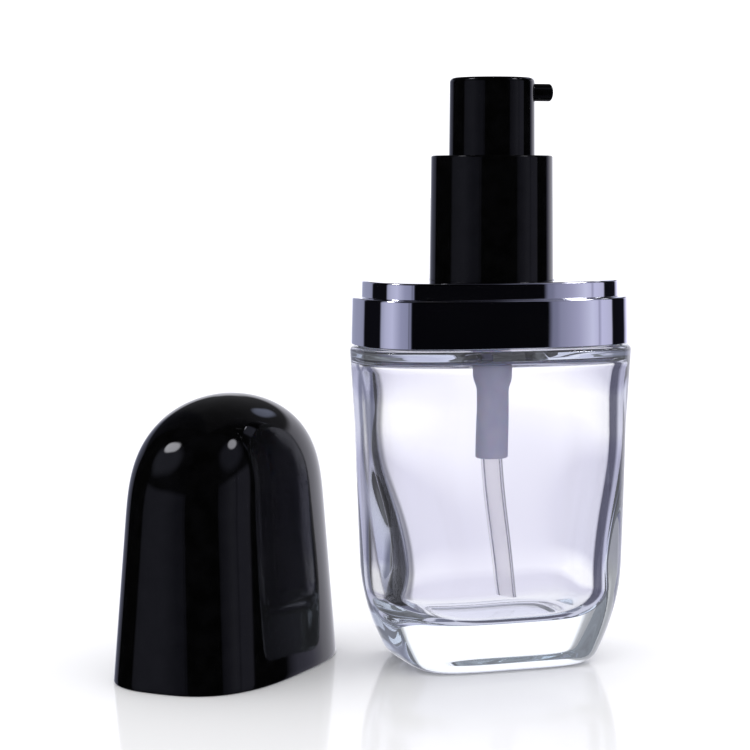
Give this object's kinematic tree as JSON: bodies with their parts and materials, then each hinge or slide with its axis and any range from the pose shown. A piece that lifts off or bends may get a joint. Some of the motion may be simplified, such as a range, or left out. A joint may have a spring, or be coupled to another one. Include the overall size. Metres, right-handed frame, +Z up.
{
  "type": "foundation bottle",
  "caption": "Clear glass foundation bottle with a plated two-tier collar, a treatment pump under a press-down actuator with a side nozzle, and a lift-off domed cap standing beside it.",
  "frame": {"origin": "centre of the glass bottle's flat underside", "axes": "+Z up along the pump's axis, +X along the bottle's wide side towards the nozzle, -Y towards the bottle's front face"},
  "size_m": [0.0901, 0.0451, 0.0997],
  "materials": {
    "clear_glass": "polished clear glass with a faint blue-green edge",
    "plated_silver": "mirror silver plating",
    "gloss_black": "high-gloss black",
    "natural_polypropylene": "milky natural polypropylene",
    "clear_polyethylene": "translucent tube",
    "white_polyethylene": "soft white",
    "spring_steel": "drawn stainless wire",
    "ball_glass": "polished glass ball"
  },
  "bodies": {
    "bottle": {"glass_bottle": "clear_glass", "collar_shell": "plated_silver", "collar_insert": "natural_polypropylene"},
    "pump": {"pump_housing": "natural_polypropylene", "neck_gasket": "white_polyethylene", "stem_guide": "natural_polypropylene", "dip_tube": "clear_polyethylene", "return_spring": "spring_steel"},
    "closure": {"screw_closure": "gloss_black", "sleeve_cover": "gloss_black"},
    "stem": {"stem": "natural_polypropylene", "stem_valve": "natural_polypropylene"},
    "piston": {"piston_seal": "white_polyethylene"},
    "ball": {"inlet_ball": "ball_glass"},
    "actuator": {"actuator_shell": "gloss_black", "actuator_core": "natural_polypropylene", "nozzle_tip": "gloss_black"},
    "cap": {"cap_shell": "gloss_black", "cap_liner": "natural_polypropylene"}
  },
  "joints": [
    {"name": "cap_lift", "type": "slide", "parent": "bottle", "child": "cap", "axis": [0, 0, 1], "range_m": [0, 0.12]},
    {"name": "pump_rise", "type": "slide", "parent": "bottle", "child": "pump", "axis": [0, 0, 1], "range_m": [0, 0.0048]},
    {"name": "closure_unscrew", "type": "hinge", "parent": "pump", "child": "closure", "pos_m": [0, 0, 0.066], "axis": [0, 0, 1], "range_deg": [0, 540]},
    {"name": "actuator_press", "type": "slide", "parent": "pump", "child": "stem", "axis": [0, 0, -1], "range_m": [0, 0.0045], "stiffness_N_per_m": 900, "springref_m": -0.004, "deforming": ["return_spring"]},
    {"name": "actuator_turn", "type": "hinge", "parent": "stem", "child": "actuator", "pos_m": [0, 0, 0.09], "axis": [0, 0, 1], "continuous": true},
    {"name": "piston_follow", "type": "slide", "parent": "pump", "child": "piston", "axis": [0, 0, -1], "range_m": [0, 0.0039]},
    {"name": "ball_lift", "type": "slide", "parent": "pump", "child": "ball", "axis": [0, 0, 1], "range_m": [0, 0.001]}
  ],
  "couplings": [
    {"joint": "pump_rise", "follows": "closure_unscrew", "m_per_rad": 0.00050532},
    {"joint": "piston_follow", "follows": "actuator_press", "ratio": 0.85}
  ]
}
